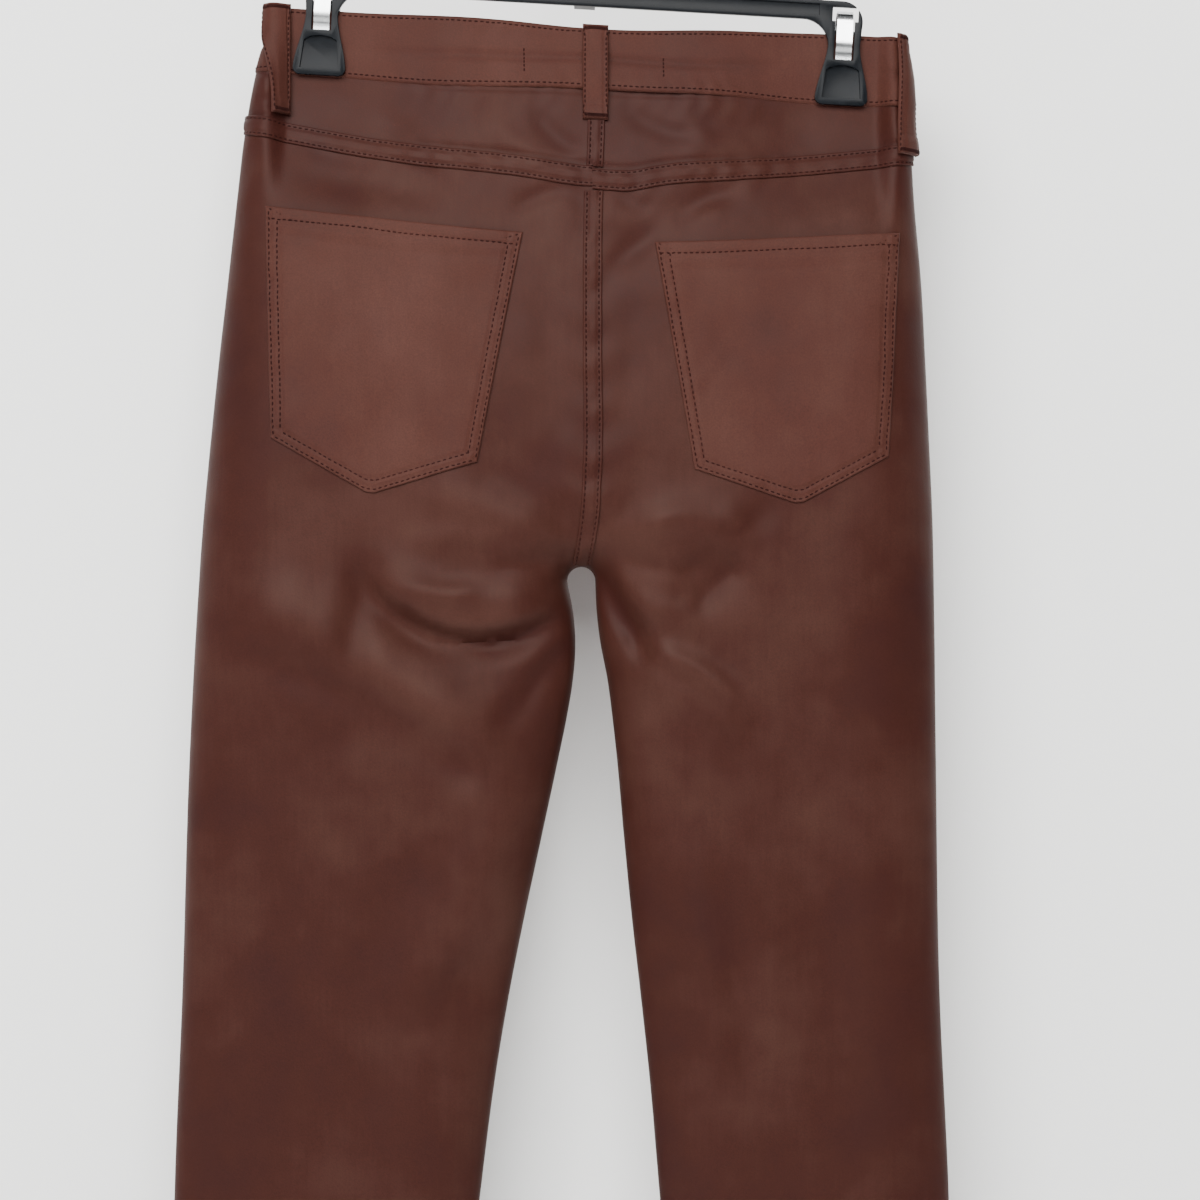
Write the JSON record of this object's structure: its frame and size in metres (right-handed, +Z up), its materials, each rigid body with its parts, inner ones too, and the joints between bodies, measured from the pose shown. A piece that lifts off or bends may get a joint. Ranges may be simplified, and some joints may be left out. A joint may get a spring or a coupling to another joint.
{
  "type": "coated jeans on a clip hanger",
  "caption": "Slim coated jeans with back yokes, two pointed back pockets and belt loops, hung flat by the waistband from a bar hanger with spring clips and a wire hook.",
  "frame": {"origin": "inner crown of the hanger's hook, where a rail carries it", "axes": "+Z up, +X towards the wearer's right side, +Y towards the wearer's front, so the back faces -Y"},
  "size_m": [0.4453, 0.0612, 1.1498],
  "materials": {
    "coated_cloth": "satin resin coating on brown twill",
    "hanger_plastic": "satin",
    "spring_steel": "bright",
    "button_metal": "antique"
  },
  "bodies": {
    "root": {"back_left": "coated_cloth", "back_right": "coated_cloth", "front_left": "coated_cloth", "front_right": "coated_cloth", "yoke_left": "coated_cloth", "yoke_right": "coated_cloth", "facing_left": "coated_cloth", "facing_right": "coated_cloth", "waistband": "coated_cloth", "pocket_left": "coated_cloth", "pocket_right": "coated_cloth", "strip_yoke_left": "coated_cloth", "strip_yoke_right": "coated_cloth", "strip_yoke_centre": "coated_cloth", "strip_rise": "coated_cloth", "loop_back_left": "coated_cloth", "loop_back_centre": "coated_cloth", "loop_back_right": "coated_cloth", "loop_front_left": "coated_cloth", "loop_front_right": "coated_cloth", "fly_flap": "coated_cloth", "hem_left": "coated_cloth", "hem_right": "coated_cloth", "hanger": "hanger_plastic", "rear_jaw_left": "hanger_plastic", "rear_jaw_right": "hanger_plastic", "spring_left": "spring_steel", "spring_right": "spring_steel", "hook": "spring_steel", "button": "button_metal"}
  },
  "joints": []
}
